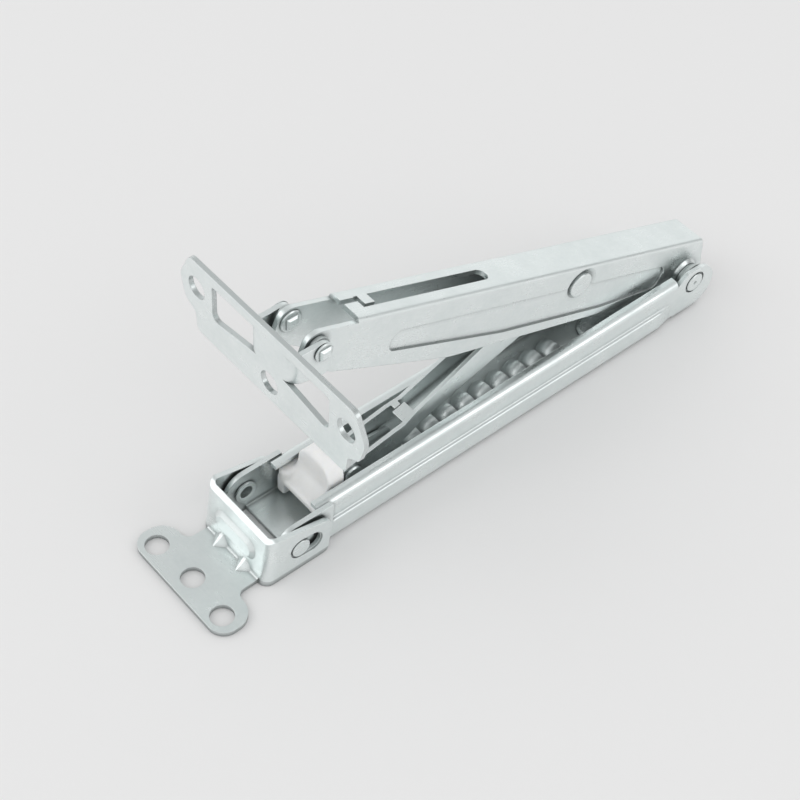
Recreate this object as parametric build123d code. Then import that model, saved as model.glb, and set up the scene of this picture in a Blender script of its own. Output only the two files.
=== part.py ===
from build123d import *
import math
import os

# Folding table bracket: a channel rail carries a ratchet, a lifting arm, its strut and two
# screw plates. Millimetres and degrees. X runs along the rail from the foot to the hinge,
# Y across it and Z up. The origin is the middle of the rail's underside. The free end of
# the arm is above the foot end of the rail.

# Rail
PIVOT_SPACING = 157.6
FLOOR_INSET_AT_FOOT = 0.3
FLOOR_INSET_AT_HINGE = 2.6
RAIL_SHEET = 1.5
RAIL_HEIGHT = 15.6
RAIL_TOP_WIDTH = 22.6
RAIL_STEP = 1.05
RIDGE_HEIGHT = 8.1
RIDGE_SLOPE = 0.5
RAIL_BEND_RADIUS = 2.0
LIP_WIDTH = 3.45
LIP_START = 8.5
LIP_INSET_AT_HINGE = 7.6
BASE_START = 13.0
BASE_INSET_AT_HINGE = 15.0
RIDGE_FADE = 5.0
RIDGE_FADE_STEP = 0.1
STEP_BEND_RADIUS = 0.6
STEP_INNER_RADIUS = 0.4
RAIL_INNER_RADIUS = 0.5
FOOT_LUG_REACH = 6.5
FOOT_LUG_RADIUS = 6.4
HINGE_EAR_REACH = 8.5
HINGE_EAR_TOP = 17.0
HINGE_EAR_BOTTOM = 1.0
HINGE_EAR_RADIUS = 7.9
HINGE_EAR_SHOULDER_RADIUS = 1.5
FOOT_PIN_HEIGHT = 8.7
HINGE_HEIGHT = 11.7

# Ratchet teeth pressed up from the rail floor
TOOTH_COUNT = 10
TOOTH_PITCH = 6.95
LAST_TOOTH = 109.9
TOOTH_HALF_WIDTH = 6.0
TOOTH_RISE = 4.4
TOOTH_SHELL = 1.0
STOP_POSITION = 126.0
STOP_HEAD_RADIUS = 5.0
STOP_HEAD_HEIGHT = 1.3
STOP_SHANK_RADIUS = 2.0
STOP_HEAD_CHAMFER = 0.8

# Clearances
PIN_GAP = 0.05
FIXED_GAP = 0.02
SIDE_GAP = 0.15
RUN_GAP = 0.3

# Foot bracket
FOOT_TILT = 7.1
FOOT_SHEET = 1.5
FOOT_SIDE_CLEARANCE = 0.7
FOOT_CORNER_RADIUS = 3.0
FOOT_FRONT = 11.4
FOOT_FRONT_TOP = 6.5
FOOT_SHOULDER_TOP = 8.2
FOOT_SHOULDER_SETBACK = 2.2
FOOT_EAR_END = 10.5
FOOT_EAR_END_TOP = 5.8
FOOT_EAR_LOW_RADIUS = 2.0
FOOT_EAR_TOP_RADIUS = 3.5
FOOT_SHOULDER_RADIUS = 2.0
FOOT_BEND_RADIUS = 2.4
FOOT_NECK_WIDTH = 22.8
FOOT_PLATE_FRONT = 32.3
FOOT_PLATE_BACK = 19.9
FOOT_PLATE_WIDTH = 41.6
FOOT_PLATE_RADIUS = 6.0
FOOT_PLATE_FRONT_RADIUS = 5.0
FOOT_NECK_RADIUS = 2.8
FOOT_HOLE_SPACING = 30.0
FOOT_HOLE_SETBACK = 27.3
FOOT_CENTRE_SETBACK = 26.1
SCREW_HOLE_RADIUS = 3.5
FOOT_SLOT_TRAVEL = 4.0
FOOT_COLLAR_RADIUS = 3.0
FOOT_SLOT_GAP = 0.1
FOOT_SLOT_MOUTH = 0.45
FOOT_GUSSET_SIZE = 3.0
FOOT_GUSSET_WIDTH = 6.4
FOOT_GUSSET_CREST = 0.5
FOOT_GUSSET_SPACING = 10.4
FOOT_BEAD_LENGTH = 18.0
FOOT_BEAD_WIDTH = 7.2
FOOT_BEAD_HEIGHT = 1.0
FOOT_BEAD_FLANK = 1.4
FOOT_BEAD_AT = -1.0
FLOOR_RELIEF = 0.1

# Foot pins
FOOT_PIN_RADIUS = 2.7
FOOT_PIN_BORE = 2.1
FOOT_PIN_INNER_HEAD = 0.6
FOOT_PIN_INNER_RADIUS = 3.5
FOOT_PIN_PROUD = 0.2

# Arm
ARM_ANGLE = 21.2
ARM_SHEET = 1.5
ARM_SIDE_STACK = 3.7
ARM_TOP = 12.3
ARM_BEND_RADIUS = 1.3
ARM_INNER_RADIUS = 0.3
ARM_ROOF_END = 147.0
ARM_HEEL = 2.6
ARM_HEEL_TOP_RADIUS = 1.2
ARM_HEEL_LOW = 8.8
ARM_HEEL_LOW_RISE = 0.5
ARM_HEEL_RADIUS = 4.0
ARM_HEEL_BELLY = 7.5
ARM_HEEL_BACK_RADIUS = 6.0
ARM_BELLY = 9.9
ARM_BELLY_AT = 102.7
ARM_BELLY_RADIUS = 15.0
ARM_TAIL_RISE_AT = 123.4
ARM_TAIL_DEPTH = 7.4
ARM_TAIL_RADIUS = 20.0
ARM_THROAT_AT = 150.6
ARM_THROAT_DEPTH = 3.9
ARM_THROAT_RADIUS = 6.0
ARM_LUG_AT = 160.1
ARM_LUG_RISE = 6.75
ARM_LUG_RADIUS = 4.2
ARM_LUG_DEPTH = 6.0
ARM_SLOT_START = 92.8
ARM_SLOT_END = 142.2
ARM_SLOT_NEAR = -2.2
ARM_SLOT_FAR = 2.4
ARM_TONGUE_START = 137.2
ARM_TONGUE_END = 140.8
ARM_TONGUE_TIP = -1.1
ARM_SEAM_NEAR = 0.4
ARM_SEAM_FAR = 2.1
ARM_PANEL_DEPTH = 0.6
ARM_PANEL_START = 12.0
ARM_PANEL_END = 131.0
ARM_PANEL_TOP = 4.8
ARM_PANEL_START_LOW = 3.4
ARM_PANEL_LOW_START = 38.0
ARM_PANEL_LOW_END = 82.7
ARM_PANEL_BOTTOM = 5.8
ARM_PANEL_END_LOW = 2.0
ARM_PANEL_RADIUS = 3.0
ARM_PANEL_BEND_RADIUS = 15.0
ARM_BOSS_BASE_RADIUS = 5.6
ARM_BOSS_TOP_RADIUS = 4.4
ARM_BOSS_RISE = 1.1

# Hinge at the rail's ears
HINGE_PIN_RADIUS = 3.0
HINGE_MOUTH_RADIUS = 3.9
HINGE_MOUTH_DEPTH = 0.6
HINGE_END_RADIUS = 3.3
HINGE_END_PROUD = 0.3
HINGE_END_CHAMFER = 0.25
HINGE_DIMPLE_RADIUS = 1.0
HINGE_SPACER_RADIUS = 4.2
HINGE_WASHER_RADIUS = 5.6
HINGE_WASHER_THICKNESS = 0.8

# Strut and its two pins
STRUT_PIVOT_ALONG = 53.5
STRUT_PIVOT_RISE = 5.2
STRUT_FOOT_AT = 26.0
STRUT_FOOT_HEIGHT = 11.5
STRUT_SHEET = 1.2
STRUT_FORK_WIDTH = 9.2
STRUT_NECK_WIDTH = 7.8
STRUT_TOP_WIDTH = 6.5
STRUT_FORK_END = 20.0
STRUT_NECK_AT = 25.0
STRUT_FORK_RADIUS = 4.4
STRUT_TOP_RADIUS = 5.0
STRUT_KINK_TOP = 1.8
STRUT_KINK_RADIUS = 6.0
STRUT_SHOULDER_AT = 64.0
STRUT_SHOULDER_TOP = 6.2
STRUT_SHOULDER_RADIUS = 12.0
STRUT_NECK_BEND_RADIUS = 3.0
STRUT_DRAW_RADIUS = 6.0
STRUT_UNDERSIDE = 4.2
STRUT_TAB_LENGTH = 4.6
STRUT_TAB_OVERLAP = 1.2
STRUT_RIVET_RADIUS = 2.5
STRUT_RIVET_HEAD_RADIUS = 4.2
STRUT_RIVET_HEAD_HEIGHT = 1.1
STRUT_DISH_RADIUS = 6.0
STRUT_DISH_DEPTH = 0.8
STRUT_SPACER_RADIUS = 4.3
STRUT_PIN_RADIUS = 1.8
STRUT_PIN_HEAD_RADIUS = 3.0
STRUT_PIN_HEAD_HEIGHT = 0.9

# Pawl under the strut's fork, and its spring
PAWL_SHEET = 1.0
PAWL_RADIUS = 4.0
PAWL_END_RADIUS = 3.3
PAWL_LENGTH = 19.6
PAWL_TOP = 1.2
PAWL_BACK_RADIUS = 8.0
PAWL_TIP_TOP = 0.2
PAWL_TIP_RADIUS = 2.0
PAWL_UNDERSIDE = 3.2
PAWL_HOOK_LENGTH = 2.4
PAWL_HOOK_LEAD = 1.0
PAWL_HOOK_RADIUS = 0.3
PAWL_HOOK_GAP = 1.6
PAWL_WEB_START = 6.5
PAWL_WEB_RADIUS = 0.8
SPRING_WIRE = 0.3
SPRING_TURNS = 3
SPRING_PITCH = 0.5
SPRING_LEG = 7.5
SPRING_TAIL = 3.6

# Sliding block
GLIDE_FLOAT = 1.8
GLIDE_FRONT = 16.0
GLIDE_RUNNER_LENGTH = 14.0
GLIDE_RUNNER_TOP = 6.5
GLIDE_RUNNER_GAP = 0.45
GLIDE_RUNNER_SETBACK = 1.2
GLIDE_BODY_TOP = 9.7
GLIDE_CHEEK_TOP = 12.6
GLIDE_CHEEK_WIDTH = 4.0
GLIDE_CHEEK_LENGTH = 8.5
GLIDE_BACK_GAP = 0.45
GLIDE_SIDE_REACH = 2.0
GLIDE_SIDE_HOLLOW = 0.4
GLIDE_HORN_TOP = 22.5
GLIDE_HORN_WIDTH = 13.6
GLIDE_HORN_THICKNESS = 5.6
GLIDE_HORN_TOP_RADIUS = 2.3
GLIDE_HORN_ROUND = 6.7
GLIDE_HORN_ROOT_RADIUS = 4.0
GLIDE_HORN_SWEEP = 4.5
GLIDE_EDGE = 0.9
GLIDE_CHEEK_ROUND = 1.8
GLIDE_LUG_RADIUS = 3.0
GLIDE_LUG_THICKNESS = 1.5

# Head plate on the arm's free end
PLATE_SHEET = 1.5
PLATE_STANDOFF = 10.3
PLATE_RISE = 6.3
PLATE_HEIGHT = 25.0
PLATE_TOP_HALF = 33.6
PLATE_TOP_RADIUS = 2.5
PLATE_WIDEST_HALF = 37.7
PLATE_WIDEST_AT = 8.6
PLATE_WIDEST_RADIUS = 4.0
PLATE_LOBE_END_HALF = 35.9
PLATE_LOBE_END_AT = 16.2
PLATE_LOBE_RADIUS = 3.0
PLATE_WAIST_HALF = 31.5
PLATE_WAIST_AT = 18.6
PLATE_WAIST_RADIUS = 2.0
PLATE_BOTTOM_HALF = 30.9
PLATE_HOLE_MARGIN = 7.15
PLATE_HOLE_AT = 9.1
PLATE_CENTRE_HOLE_AT = 18.75
PLATE_WINDOW_TOP = 3.3
PLATE_WINDOW_OUTER = 23.9
PLATE_WINDOW_LOW_OUTER = 15.6
PLATE_WINDOW_LOW_INNER = 12.6
PLATE_WINDOW_CORNER = 1.2
PLATE_WINDOW_LOW_CORNER = 2.0
PLATE_EAR_GAP = 1.3
PLATE_BEND_RADIUS = 3.6
PLATE_EAR_REACH = 13.0
PLATE_EAR_CORNER = 3.0
PLATE_PIN_RADIUS = 1.8
PLATE_PIN_HEAD_RADIUS = 2.9
PLATE_PIN_HEAD_HEIGHT = 0.5
PLATE_PIN_TAIL_RADIUS = 3.4
PLATE_PIN_TAIL_HEIGHT = 0.6
PLATE_PIN_BOSS_SIDE = 3.6
PLATE_PIN_BOSS_HEIGHT = 0.9
PLATE_PIN_BOSS_CHAMFER = 0.6
PLATE_SPACER_RADIUS = 3.2

# Places that follow from the sizes above
FLOOR_LENGTH = PIVOT_SPACING - FLOOR_INSET_AT_FOOT - FLOOR_INSET_AT_HINGE
FOOT_X = -FLOOR_LENGTH / 2 - FLOOR_INSET_AT_FOOT
HINGE_X = FOOT_X + PIVOT_SPACING
RAIL_TOP_HALF = RAIL_TOP_WIDTH / 2
RAIL_BASE_HALF = RAIL_TOP_HALF + RAIL_STEP
EAR_INNER = RAIL_TOP_HALF - RAIL_SHEET
LUG_INNER = RAIL_BASE_HALF - RAIL_SHEET
TOOTH_TOP = RAIL_SHEET + TOOTH_RISE
TOOTH_RADIUS = (TOOTH_HALF_WIDTH ** 2 + TOOTH_RISE ** 2) / (2 * TOOTH_RISE)
FOOT_HALF = RAIL_BASE_HALF + FOOT_SIDE_CLEARANCE + FOOT_SHEET
ARM_HALF = EAR_INNER - ARM_SIDE_STACK
ARM_INNER = ARM_HALF - ARM_SHEET
STRUT_FOOT_X = FOOT_X + STRUT_FOOT_AT
FORK_HALF = STRUT_FORK_WIDTH / 2
FORK_INNER = FORK_HALF - STRUT_SHEET
PAWL_HALF = FORK_INNER - RUN_GAP
PAWL_INNER = PAWL_HALF - PAWL_SHEET
PLATE_EAR_INNER = ARM_HALF + PLATE_EAR_GAP
PLATE_EAR_OUTER = PLATE_EAR_INNER + PLATE_SHEET
BIG = 400.0
NUDGE = 0.5
CORNER_EASE = 0.1
END_ROUNDING = 0.9


def outline(*corners):
    """Closed face through corners given as (x, y, corner radius)."""
    points = [(x, y) for x, y, radius in corners]
    radii = [radius for x, y, radius in corners]
    return make_face(FilletPolyline(*points, radius=radii, close=True))


def slab_xz(face, y_low, y_high):
    """Extrude a face drawn in X and Z from y_low to y_high."""
    return extrude(Plane.XZ.offset(-y_high) * face, amount=y_high - y_low)


def slab_xy(face, z_low, z_high):
    """Extrude a face drawn in X and Y from z_low to z_high."""
    return extrude(Plane.XY.offset(z_low) * face, amount=z_high - z_low)


def slab_yz(face, x_low, x_high):
    """Extrude a face drawn in Y and Z from x_low to x_high."""
    return extrude(Plane.YZ.offset(x_low) * face, amount=x_high - x_low)


def block(x_low, x_high, y_low, y_high, z_low, z_high):
    """Box between two corners."""
    return slab_xy(outline_box(x_low, x_high, y_low, y_high), z_low, z_high)


def outline_box(low_1, high_1, low_2, high_2):
    """Rectangle face between two corners."""
    return outline((low_1, low_2, 0), (high_1, low_2, 0), (high_1, high_2, 0), (low_1, high_2, 0))


def disc(x, z, y_low, y_high, radius):
    """Cylinder across the bracket at (x, z)."""
    return slab_xz(Pos(x, z) * Circle(radius), y_low, y_high)


def cone_along_y(y_start, y_end, start_radius, end_radius):
    """Cone frustum on the Y axis from y_start to y_end."""
    start = Plane.XZ.offset(-y_start) * Circle(start_radius)
    end = Plane.XZ.offset(-y_end) * Circle(end_radius)
    return loft([start, end])


def both_sides(shape):
    """The shape and its mirror image across the bracket's middle plane."""
    return shape + mirror(shape, about=Plane.XZ)


def at_foot(shape):
    return Pos(FOOT_X, 0, FOOT_PIN_HEIGHT) * Rot(0, FOOT_TILT, 0) * shape


def at_hinge(shape):
    return Pos(HINGE_X, 0, HINGE_HEIGHT) * Rot(0, ARM_ANGLE, 0) * shape


def arm_point(along, rise):
    """Row X and Z of a point on the arm, measured from the hinge."""
    angle = math.radians(ARM_ANGLE)
    x = HINGE_X - along * math.cos(angle) + rise * math.sin(angle)
    z = HINGE_HEIGHT + along * math.sin(angle) + rise * math.cos(angle)
    return x, z


STRUT_TOP_X, STRUT_TOP_Z = arm_point(STRUT_PIVOT_ALONG, STRUT_PIVOT_RISE)
STRUT_LENGTH = math.hypot(STRUT_TOP_X - STRUT_FOOT_X, STRUT_TOP_Z - STRUT_FOOT_HEIGHT)
STRUT_ANGLE = math.degrees(math.atan2(STRUT_TOP_Z - STRUT_FOOT_HEIGHT, STRUT_TOP_X - STRUT_FOOT_X))
PLATE_PIVOT_X, PLATE_PIVOT_Z = arm_point(ARM_LUG_AT, ARM_LUG_RISE)


def at_strut_foot(shape):
    return Pos(STRUT_FOOT_X, 0, STRUT_FOOT_HEIGHT) * shape


def at_strut(shape):
    return at_strut_foot(Rot(0, -STRUT_ANGLE, 0) * shape)


def at_plate(shape):
    return Pos(PLATE_PIVOT_X, 0, PLATE_PIVOT_Z) * shape


def rail_wall_face(base_half):
    """Half section of the channel: floor, stepped wall and turned-in lip."""
    step_low = RIDGE_HEIGHT - RIDGE_SLOPE / 2
    step_high = RIDGE_HEIGHT + RIDGE_SLOPE / 2
    inner_shift = RAIL_SHEET / 4
    lip_edge = RAIL_TOP_HALF - LIP_WIDTH
    return outline(
        (0, 0, 0),
        (base_half, 0, RAIL_BEND_RADIUS),
        (base_half, step_low, STEP_BEND_RADIUS),
        (RAIL_TOP_HALF, step_high, STEP_BEND_RADIUS),
        (RAIL_TOP_HALF, RAIL_HEIGHT, RAIL_BEND_RADIUS),
        (lip_edge, RAIL_HEIGHT, 0),
        (lip_edge, RAIL_HEIGHT - RAIL_SHEET, 0),
        (EAR_INNER, RAIL_HEIGHT - RAIL_SHEET, RAIL_INNER_RADIUS),
        (EAR_INNER, step_high - inner_shift, STEP_INNER_RADIUS),
        (base_half - RAIL_SHEET, step_low - inner_shift, STEP_INNER_RADIUS),
        (base_half - RAIL_SHEET, RAIL_SHEET, RAIL_INNER_RADIUS),
        (0, RAIL_SHEET, 0),
    )


def rail_upper_face():
    """Half section beyond the stepped length, where the wall is straight."""
    lip_edge = RAIL_TOP_HALF - LIP_WIDTH
    return outline(
        (0, 0, 0),
        (RAIL_TOP_HALF, 0, RAIL_BEND_RADIUS),
        (RAIL_TOP_HALF, RAIL_HEIGHT, RAIL_BEND_RADIUS),
        (lip_edge, RAIL_HEIGHT, 0),
        (lip_edge, RAIL_HEIGHT - RAIL_SHEET, 0),
        (EAR_INNER, RAIL_HEIGHT - RAIL_SHEET, RAIL_INNER_RADIUS),
        (EAR_INNER, RAIL_SHEET, RAIL_INNER_RADIUS),
        (0, RAIL_SHEET, 0),
    )


def rail_foot_face():
    """Half section at the foot lugs: the wall stands at the full base width."""
    return outline(
        (0, 0, 0),
        (RAIL_BASE_HALF, 0, RAIL_BEND_RADIUS),
        (RAIL_BASE_HALF, RAIL_HEIGHT, 0),
        (LUG_INNER, RAIL_HEIGHT, 0),
        (LUG_INNER, RAIL_SHEET, RAIL_INNER_RADIUS),
        (0, RAIL_SHEET, 0),
    )


def rail_ridge_end(start):
    """Length over which the stepped wall fades into the straight one."""
    stepped = Plane.YZ.offset(start) * rail_wall_face(RAIL_BASE_HALF)
    straight = Plane.YZ.offset(start + RIDGE_FADE) * rail_wall_face(RAIL_TOP_HALF + RIDGE_FADE_STEP)
    return loft([stepped, straight], ruled=True)


def quarter_ball(radius, crest, x_high):
    """The part of a ball round the tooth's centre that lies behind x_high."""
    ball = Pos(crest, 0, TOOTH_TOP - TOOTH_RADIUS) * Sphere(radius)
    return ball & block(crest - BIG, x_high, -BIG, BIG, -NUDGE, BIG)


def raise_tooth(rail, crest):
    """Press one hollow tooth up from the floor, open towards the hinge."""
    outer = quarter_ball(TOOTH_RADIUS, crest, crest) - block(-BIG, BIG, -BIG, BIG, -BIG, FLOOR_RELIEF)
    inner = quarter_ball(TOOTH_RADIUS - TOOTH_SHELL, crest, crest + RUN_GAP)
    return rail + outer - inner


def base_rail():
    hinge_side = HINGE_X - BASE_INSET_AT_HINGE
    lip_left = FOOT_X + LIP_START
    lip_right = HINGE_X - LIP_INSET_AT_HINGE
    floor_left = FOOT_X + FLOOR_INSET_AT_FOOT
    floor_right = HINGE_X - FLOOR_INSET_AT_HINGE
    base_left = FOOT_X + BASE_START
    lug_left = FOOT_X - FOOT_LUG_REACH
    foot_end = slab_yz(rail_foot_face(), lug_left, base_left)
    lug_outline = outline(
        (lug_left, 0, FOOT_LUG_RADIUS),
        (BIG, 0, 0),
        (BIG, RAIL_HEIGHT, 0),
        (lug_left, RAIL_HEIGHT, FOOT_LUG_RADIUS),
    )
    foot_end = foot_end & slab_xz(lug_outline, 0, RAIL_BASE_HALF)
    foot_end -= block(lug_left, floor_left, 0, LUG_INNER, 0, RAIL_SHEET + NUDGE)
    upper = slab_yz(rail_upper_face(), lip_left, lip_right)
    upper -= block(lip_left, base_left, 0, LUG_INNER, -NUDGE, RAIL_HEIGHT - RAIL_SHEET)
    body = slab_yz(rail_wall_face(RAIL_BASE_HALF), base_left, hinge_side) + rail_ridge_end(hinge_side)
    hinge_floor = block(lip_right, floor_right, 0, EAR_INNER, 0, RAIL_SHEET)
    ridge_end = hinge_side + RIDGE_FADE
    half = foot_end + (upper - block(base_left, ridge_end, 0, BIG, -BIG, BIG)) + body + hinge_floor
    ear_outline = outline(
        (lip_right - NUDGE, HINGE_EAR_BOTTOM, 0),
        (HINGE_X + HINGE_EAR_REACH, HINGE_EAR_BOTTOM, HINGE_EAR_RADIUS),
        (HINGE_X + HINGE_EAR_REACH, HINGE_EAR_TOP, HINGE_EAR_RADIUS),
        (HINGE_X - LIP_INSET_AT_HINGE / 2, HINGE_EAR_TOP, HINGE_EAR_SHOULDER_RADIUS),
        (lip_right - NUDGE, RAIL_HEIGHT - RAIL_BEND_RADIUS, 0),
    )
    half += slab_xz(ear_outline, EAR_INNER, RAIL_TOP_HALF)
    half -= disc(HINGE_X, HINGE_HEIGHT, 0, BIG, HINGE_PIN_RADIUS + FIXED_GAP)
    half -= disc(HINGE_X, HINGE_HEIGHT, RAIL_TOP_HALF - HINGE_MOUTH_DEPTH, BIG, HINGE_MOUTH_RADIUS)
    half -= disc(FOOT_X, FOOT_PIN_HEIGHT, 0, BIG, FOOT_PIN_RADIUS + PIN_GAP)
    rail = both_sides(half)
    for index in range(TOOTH_COUNT):
        rail = raise_tooth(rail, FOOT_X + LAST_TOOTH - index * TOOTH_PITCH)
    stop_hole = Pos(FOOT_X + STOP_POSITION, 0) * Circle(STOP_SHANK_RADIUS + FIXED_GAP)
    return rail - slab_xy(stop_hole, -NUDGE, RAIL_SHEET + NUDGE)


def stop_rivet():
    """Flat-headed rivet in the rail floor that ends the block's travel."""
    shank = slab_xy(Circle(STOP_SHANK_RADIUS), FLOOR_RELIEF, RAIL_SHEET + NUDGE)
    head_low = RAIL_SHEET + FIXED_GAP
    head = slab_xy(Circle(STOP_HEAD_RADIUS), head_low, head_low + STOP_HEAD_HEIGHT)
    top_edge = head.edges().group_by(Axis.Z)[-1]
    head = chamfer(top_edge, STOP_HEAD_CHAMFER)
    return Pos(FOOT_X + STOP_POSITION, 0, 0) * (shank + head)


def foot_side_outline():
    """Side view of the clevis ears in the foot's own frame."""
    tilt = math.radians(FOOT_TILT)
    low_front = (FLOOR_RELIEF - FOOT_PIN_HEIGHT - FOOT_FRONT * math.sin(tilt)) / math.cos(tilt)
    low_back = (FLOOR_RELIEF - FOOT_PIN_HEIGHT + FOOT_EAR_END * math.sin(tilt)) / math.cos(tilt)
    return outline(
        (-FOOT_FRONT, low_front, 0),
        (FOOT_EAR_END, low_back, FOOT_EAR_LOW_RADIUS),
        (FOOT_EAR_END, FOOT_EAR_END_TOP, FOOT_EAR_TOP_RADIUS),
        (-FOOT_FRONT + FOOT_SHOULDER_SETBACK, FOOT_SHOULDER_TOP, FOOT_SHOULDER_RADIUS),
        (-FOOT_FRONT, FOOT_FRONT_TOP, 0),
    )


def foot_clevis():
    """Front wall and the two ears that straddle the rail."""
    inner = FOOT_HALF - FOOT_SHEET
    inner_radius = FOOT_CORNER_RADIUS - FOOT_SHEET
    plan = outline(
        (-FOOT_FRONT, -FOOT_HALF, FOOT_CORNER_RADIUS),
        (FOOT_EAR_END, -FOOT_HALF, 0),
        (FOOT_EAR_END, -inner, 0),
        (-FOOT_FRONT + FOOT_SHEET, -inner, inner_radius),
        (-FOOT_FRONT + FOOT_SHEET, inner, inner_radius),
        (FOOT_EAR_END, inner, 0),
        (FOOT_EAR_END, FOOT_HALF, 0),
        (-FOOT_FRONT, FOOT_HALF, FOOT_CORNER_RADIUS),
    )
    clevis = slab_xy(plan, -BIG, BIG) & slab_xz(foot_side_outline(), -FOOT_HALF, FOOT_HALF)
    slot_radius = FOOT_COLLAR_RADIUS + FOOT_SLOT_GAP
    middle = Pos(FOOT_SLOT_TRAVEL / 2, 0)
    slot = middle * SlotCenterToCenter(FOOT_SLOT_TRAVEL, 2 * slot_radius)
    mouth = middle * SlotCenterToCenter(FOOT_SLOT_TRAVEL, 2 * (slot_radius + FOOT_SLOT_MOUTH))
    clevis -= slab_xz(slot, -BIG, BIG)
    clevis -= both_sides(slab_xz(mouth, FOOT_HALF - FOOT_SLOT_MOUTH, FOOT_HALF + NUDGE))
    return clevis + foot_bead()


def foot_bead():
    """Long pillow pressed forwards from the front wall to stiffen it."""
    root = SlotOverall(FOOT_BEAD_LENGTH, FOOT_BEAD_WIDTH)
    flank = 2 * FOOT_BEAD_FLANK
    crown = SlotOverall(FOOT_BEAD_LENGTH - flank, FOOT_BEAD_WIDTH - flank)
    lift = Pos(0, FOOT_BEAD_AT)
    pillow = loft([
        Plane.YZ.offset(-FOOT_FRONT) * lift * root,
        Plane.YZ.offset(-FOOT_FRONT - FOOT_BEAD_HEIGHT) * lift * crown,
    ])
    return pillow + slab_yz(lift * root, -FOOT_FRONT, -FOOT_FRONT + NUDGE)


def foot_wall_x(setback, z):
    """Level X, from the pin, of the tilted front wall's face at height z."""
    tilt = math.radians(FOOT_TILT)
    along = (z - setback * math.sin(tilt)) / math.cos(tilt)
    return along * math.sin(tilt) - setback * math.cos(tilt)


def foot_plate():
    """Level screw plate with its neck and the bend up to the tilted front wall."""
    low = FLOOR_RELIEF - FOOT_PIN_HEIGHT
    top = low + FOOT_SHEET
    bend_top = top + FOOT_BEND_RADIUS
    wall_back = FOOT_FRONT - FOOT_SHEET
    corner = foot_wall_x(FOOT_FRONT, top)
    bend = outline(
        (foot_wall_x(FOOT_FRONT, bend_top), bend_top, 0),
        (corner, top, FOOT_BEND_RADIUS - FOOT_SHEET),
        (-FOOT_PLATE_BACK, top, 0),
        (-FOOT_PLATE_BACK, low, 0),
        (foot_wall_x(wall_back, low), low, FOOT_BEND_RADIUS),
        (foot_wall_x(wall_back, bend_top), bend_top, 0),
    )
    neck_half = FOOT_NECK_WIDTH / 2
    plate_half = FOOT_PLATE_WIDTH / 2
    bend_end = corner - FOOT_BEND_RADIUS
    plan = outline(
        (-FOOT_PLATE_FRONT, -plate_half, FOOT_PLATE_FRONT_RADIUS),
        (-FOOT_PLATE_BACK, -plate_half, FOOT_PLATE_RADIUS),
        (-FOOT_PLATE_BACK, -neck_half, FOOT_NECK_RADIUS),
        (bend_end, -neck_half, 0),
        (bend_end, neck_half, 0),
        (-FOOT_PLATE_BACK, neck_half, FOOT_NECK_RADIUS),
        (-FOOT_PLATE_BACK, plate_half, FOOT_PLATE_RADIUS),
        (-FOOT_PLATE_FRONT, plate_half, FOOT_PLATE_FRONT_RADIUS),
    )
    plate = slab_xy(plan, low, top) + slab_xz(bend, -neck_half, neck_half)
    for side in (-1, 1):
        hole = Pos(-FOOT_HOLE_SETBACK, side * FOOT_HOLE_SPACING / 2) * Circle(SCREW_HOLE_RADIUS)
        plate -= slab_xy(hole, -BIG, BIG)
        plate += foot_gusset(side * FOOT_GUSSET_SPACING / 2, corner, top)
    centre = Pos(-FOOT_CENTRE_SETBACK, 0) * Circle(SCREW_HOLE_RADIUS)
    return plate - slab_xy(centre, -BIG, BIG), bend_top


def foot_gusset(y_middle, corner, top):
    """Small pyramid pressed into the bend between the plate and the front wall."""
    reach = FOOT_GUSSET_SIZE
    wall_x = foot_wall_x(FOOT_FRONT, top + reach)
    wedge = outline(
        (corner - reach, top, 0),
        (wall_x, top + reach, 0),
        (wall_x + NUDGE, top + reach, 0),
        (corner + NUDGE, top - NUDGE, 0),
        (corner - reach, top - NUDGE, 0),
    )
    half = FOOT_GUSSET_WIDTH / 2
    crest_half = FOOT_GUSSET_CREST / 2
    ridge = Plane(origin=(corner - reach, y_middle, top), x_dir=(0, 1, 0), z_dir=(1, 0, 1))
    depth = reach / math.sqrt(2)
    roof = outline((-crest_half, 0, 0), (crest_half, 0, 0), (half, -depth, 0), (-half, -depth, 0))
    prism = extrude(ridge * roof, amount=2 * reach, both=True)
    return slab_xz(wedge, y_middle - half, y_middle + half) & prism


def foot_bracket():
    plate, bend_top = foot_plate()
    neck_half = FOOT_NECK_WIDTH / 2
    clevis = Rot(0, FOOT_TILT, 0) * foot_clevis()
    clevis -= block(-BIG, 0, -neck_half, neck_half, -BIG, bend_top)
    return Pos(FOOT_X, 0, FOOT_PIN_HEIGHT) * (clevis + plate)


def foot_pin(side):
    """Shouldered pin: shank in the rail lug, collar in the bracket's slot."""
    shank_in = LUG_INNER - SIDE_GAP - FOOT_PIN_INNER_HEAD
    collar_start = RAIL_BASE_HALF + SIDE_GAP
    collar_end = FOOT_HALF + FOOT_PIN_PROUD
    pin = disc(0, 0, shank_in, collar_start + NUDGE, FOOT_PIN_RADIUS)
    pin += disc(0, 0, shank_in, shank_in + FOOT_PIN_INNER_HEAD, FOOT_PIN_INNER_RADIUS)
    collar = disc(0, 0, collar_start, collar_end, FOOT_COLLAR_RADIUS)
    pin += chamfer(collar.edges().group_by(Axis.Y)[-1], FOOT_PIN_PROUD)
    pin -= disc(0, 0, 0, collar_start, FOOT_PIN_BORE)
    if side < 0:
        pin = mirror(pin, about=Plane.XZ)
    return at_foot(pin)


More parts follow.
